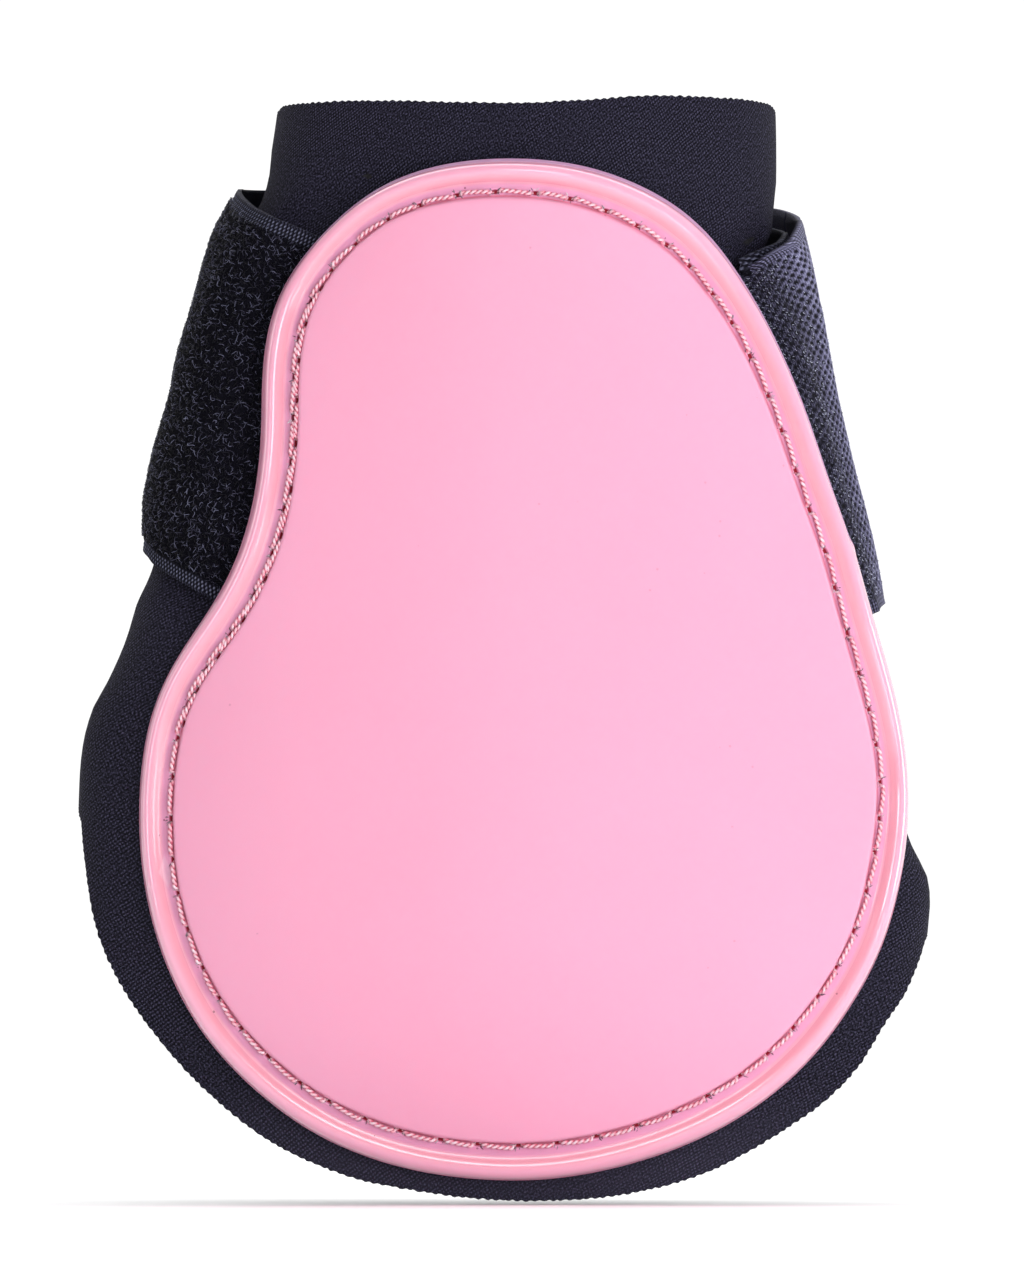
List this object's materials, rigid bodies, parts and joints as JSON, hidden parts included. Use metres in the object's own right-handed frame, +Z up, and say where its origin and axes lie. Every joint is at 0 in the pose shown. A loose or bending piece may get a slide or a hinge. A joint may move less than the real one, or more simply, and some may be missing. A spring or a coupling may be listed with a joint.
{
  "type": "fetlock boot",
  "caption": "Horse fetlock boot: a moulded shell lock-stitched onto a neoprene sleeve that wraps the leg and closes with hook-and-loop straps.",
  "frame": {"origin": "on the leg's axis, level with the lowest edge of the sleeve", "axes": "+Z up the leg, -Y is where the shell faces, +X to the right when looking at the shell"},
  "size_m": [0.1165, 0.0841, 0.1501],
  "materials": {
    "shell": "smooth satin-gloss pink moulded PVC",
    "seam_thread": "twisted pale pink polyester sewing thread",
    "tack_thread": "black polyester sewing thread",
    "jersey": "black knitted nylon jersey, matt",
    "foam": "black closed-cell chloroprene foam",
    "loop_tape": "black loop tape, fuzzy knitted loops",
    "hook_tape": "black woven nylon hook tape"
  },
  "bodies": {
    "front": {"shell": "shell", "shell_needle_thread": "seam_thread", "shell_bobbin_thread": "seam_thread", "front_outer_jersey": "jersey", "front_foam_core": "foam", "front_inner_jersey": "jersey", "loop_strap_root": "loop_tape", "hook_strap_root": "hook_tape", "loop_strap_tack_thread": "tack_thread", "hook_strap_tack_thread": "tack_thread"},
    "left_wing": {"left_wing_outer_jersey": "jersey", "left_wing_foam_core": "foam", "left_wing_inner_jersey": "jersey"},
    "right_wing": {"right_wing_outer_jersey": "jersey", "right_wing_foam_core": "foam", "right_wing_inner_jersey": "jersey"},
    "loop_strap": {"loop_strap_free": "loop_tape"},
    "hook_strap_side": {"hook_strap_side": "hook_tape"},
    "hook_strap_end": {"hook_strap_end": "hook_tape"}
  },
  "joints": [
    {"name": "hook_strap_open", "type": "hinge", "parent": "front", "child": "hook_strap_side", "pos_m": [0.04482, -0.01702, 0.10375], "axis": [0.2944, 0.1625, -0.9418], "range_deg": [0, 105]},
    {"name": "hook_strap_unroll", "type": "hinge", "parent": "hook_strap_side", "child": "hook_strap_end", "pos_m": [0.03444, 0.03048, 0.10925], "axis": [0.1213, 0.0285, -0.9922], "range_deg": [0, 40.5]},
    {"name": "loop_strap_open", "type": "hinge", "parent": "front", "child": "loop_strap", "pos_m": [-0.04511, 0.008, 0.11326], "axis": [0.2565, 0, 0.9665], "range_deg": [0, 62.5]},
    {"name": "left_wing_open", "type": "hinge", "parent": "front", "child": "left_wing", "pos_m": [-0.04608, 0.008, 0.10335], "axis": [0.2848, 0, 0.9586], "range_deg": [0, 22.5]},
    {"name": "right_wing_open", "type": "hinge", "parent": "front", "child": "right_wing", "pos_m": [0.04739, 0.008, 0.09466], "axis": [0.1937, 0, -0.9811], "range_deg": [0, 18.5]}
  ],
  "couplings": [
    {"joint": "hook_strap_unroll", "follows": "hook_strap_open", "ratio": 0.381},
    {"joint": "loop_strap_open", "follows": "hook_strap_open", "ratio": 0.5905},
    {"joint": "left_wing_open", "follows": "hook_strap_open", "ratio": 0.2095},
    {"joint": "right_wing_open", "follows": "hook_strap_open", "ratio": 0.1714}
  ]
}
